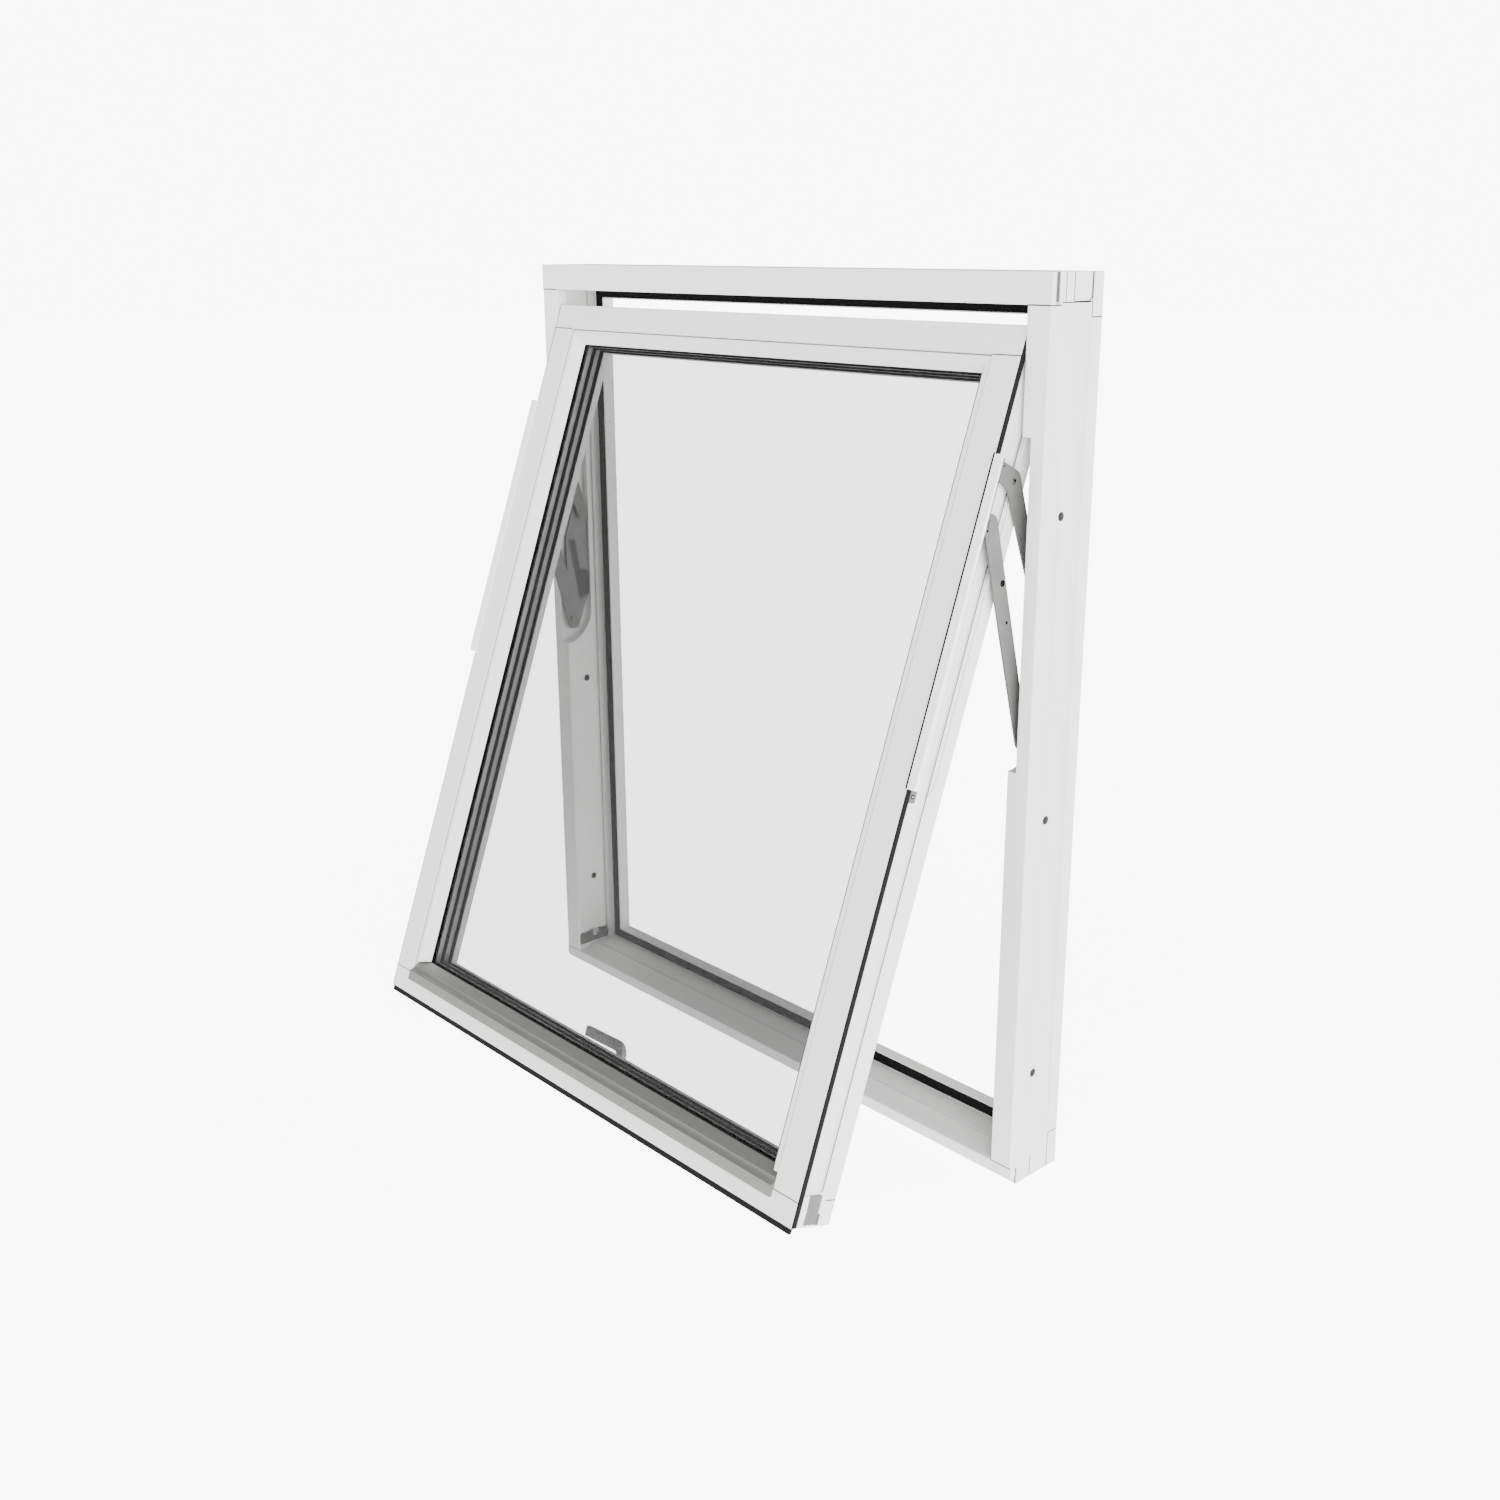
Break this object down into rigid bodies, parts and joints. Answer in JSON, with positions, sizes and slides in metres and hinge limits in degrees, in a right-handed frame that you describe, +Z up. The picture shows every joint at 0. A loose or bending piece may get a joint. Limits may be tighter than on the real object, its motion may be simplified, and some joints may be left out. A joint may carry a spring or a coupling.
{
  "type": "top-swing reversible window",
  "caption": "Outward opening top-swing timber window: frame, triple glazed sash on paired steel arms, handle with side bolts.",
  "frame": {"origin": "middle of the sill's underside", "axes": "+X along the sill, to the right seen from outside; +Y inward through the wall; +Z up"},
  "size_m": [1.18, 0.5555, 1.4],
  "materials": {
    "white_timber": "satin white paint on pine",
    "black_rubber": "matte",
    "glass": "clear",
    "anodised_aluminium": "anodised satin",
    "spacer_aluminium": "satin",
    "white_cover": "white powder coat",
    "handle_metal": "silver grey lacquer",
    "zinc_steel": "zinc plated"
  },
  "bodies": {
    "frame": {"frame_head": "white_timber", "frame_sill": "white_timber", "frame_jamb_left": "white_timber", "frame_jamb_right": "white_timber", "frame_stop_head": "white_timber", "frame_stop_sill": "white_timber", "frame_stop_left": "white_timber", "frame_stop_right": "white_timber", "frame_gasket": "black_rubber", "striker_left": "zinc_steel", "striker_right": "zinc_steel", "hinge_plate_left": "zinc_steel", "hinge_plate_right": "zinc_steel", "frame_pin_low_left": "zinc_steel", "frame_pin_low_right": "zinc_steel", "frame_pin_high_left": "zinc_steel", "frame_pin_high_right": "zinc_steel"},
    "lower_arms": {"lower_arm_left": "zinc_steel", "lower_arm_right": "zinc_steel"},
    "upper_arms": {"upper_arm_left": "zinc_steel", "upper_arm_right": "zinc_steel", "head_rivet_left": "zinc_steel", "head_rivet_right": "zinc_steel"},
    "sash": {"arm_pin_left": "zinc_steel", "arm_pin_right": "zinc_steel", "bead_bottom": "anodised_aluminium", "bead_left": "white_timber", "bead_right": "white_timber", "bead_top": "white_timber", "bottom_seal": "black_rubber", "corner_piece_left": "zinc_steel", "corner_piece_right": "zinc_steel", "cover_rail_left": "white_cover", "cover_rail_right": "white_cover", "edge_seal_inner": "black_rubber", "edge_seal_middle": "black_rubber", "edge_seal_outer": "black_rubber", "edge_sealant": "black_rubber", "glazing_tape_inner": "black_rubber", "glazing_tape_outer": "black_rubber", "handle_rosette": "handle_metal", "head_stub_left": "zinc_steel", "head_stub_right": "zinc_steel", "hinge_rail_left": "zinc_steel", "hinge_rail_right": "zinc_steel", "pane_inner": "glass", "pane_middle": "glass", "pane_outer": "glass", "sash_bottom_rail": "white_timber", "sash_gasket": "black_rubber", "sash_stile_left": "white_timber", "sash_stile_right": "white_timber", "sash_top_rail": "white_timber", "setting_block_left": "black_rubber", "setting_block_right": "black_rubber", "spacer_inner": "spacer_aluminium", "spacer_outer": "spacer_aluminium"},
    "handle": {"handle_lever": "handle_metal"},
    "bolt_left": {"bolt_left": "zinc_steel"},
    "bolt_right": {"bolt_right": "zinc_steel"}
  },
  "joints": [
    {"name": "lower_arm_swing", "type": "hinge", "parent": "frame", "child": "lower_arms", "pos_m": [0, -0.0375, 0.731], "axis": [1, 0, 0], "range_deg": [-15.88, 11.91]},
    {"name": "sash_turn", "type": "hinge", "parent": "lower_arms", "child": "sash", "pos_m": [0, -0.12679, 1.06322], "axis": [1, 0, 0], "range_deg": [-26.92, 35.89]},
    {"name": "upper_arm_swing", "type": "hinge", "parent": "frame", "child": "upper_arms", "pos_m": [0, -0.011, 0.938], "axis": [1, 0, 0], "range_deg": [-19.7, 14.78]},
    {"name": "handle_turn", "type": "hinge", "parent": "sash", "child": "handle", "pos_m": [0, -0.40846, 0.10369], "axis": [0, 0.9397, -0.342], "range_deg": [0, 90]},
    {"name": "bolt_slide_left", "type": "slide", "parent": "sash", "child": "bolt_left", "axis": [-1, 0, 0], "range_m": [0, 0.0101]},
    {"name": "bolt_slide_right", "type": "slide", "parent": "sash", "child": "bolt_right", "axis": [1, 0, 0], "range_m": [0, 0.0101]}
  ],
  "couplings": [
    {"joint": "sash_turn", "follows": "lower_arm_swing", "ratio": -2.2597},
    {"joint": "upper_arm_swing", "follows": "lower_arm_swing", "ratio": 1.24},
    {"joint": "bolt_slide_left", "follows": "handle_turn", "m_per_rad": 0.0063662},
    {"joint": "bolt_slide_right", "follows": "handle_turn", "m_per_rad": 0.0063662}
  ]
}
